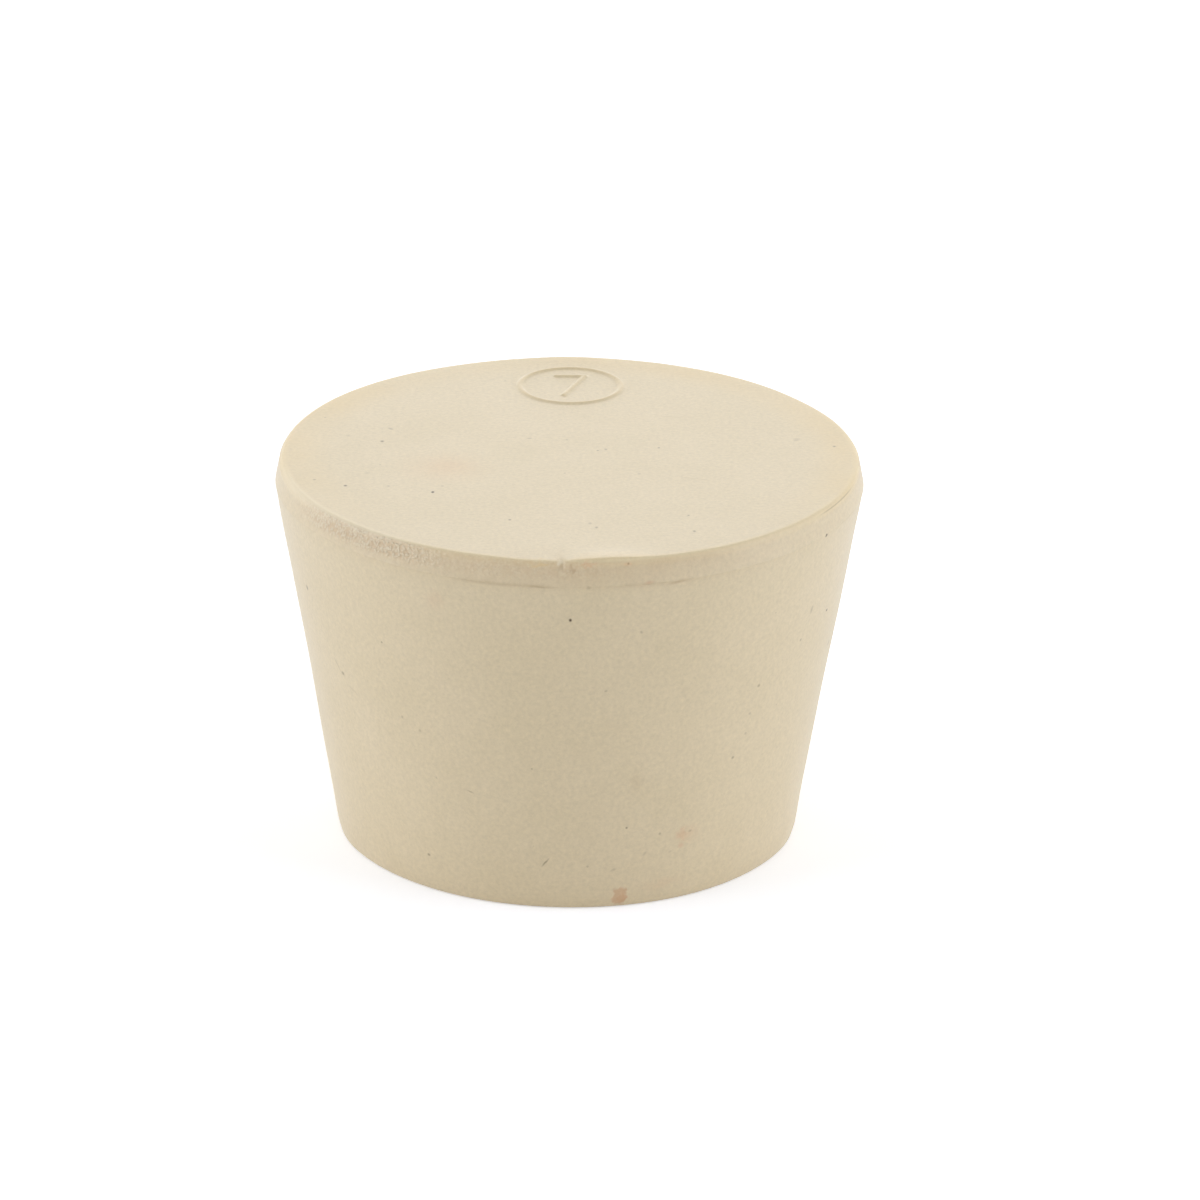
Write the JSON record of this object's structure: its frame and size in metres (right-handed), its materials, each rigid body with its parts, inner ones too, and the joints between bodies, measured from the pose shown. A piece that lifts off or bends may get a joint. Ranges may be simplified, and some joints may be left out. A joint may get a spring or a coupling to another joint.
{
  "type": "rubber stopper",
  "caption": "Solid tapered rubber stopper with a flat top, a shallow crown above its parting line and a small raised size mark.",
  "frame": {"origin": "centre of the flat narrow end, which stands on the table", "axes": "+Z along the stopper's axis, from the narrow end to the wide top face; -Y towards the nick in the rim, so that the raised size mark is at +Y and reads upright from -Y"},
  "size_m": [0.0374, 0.0372, 0.0252],
  "materials": {
    "natural_rubber": "matte"
  },
  "bodies": {
    "root": {"stopper": "natural_rubber"}
  },
  "joints": []
}
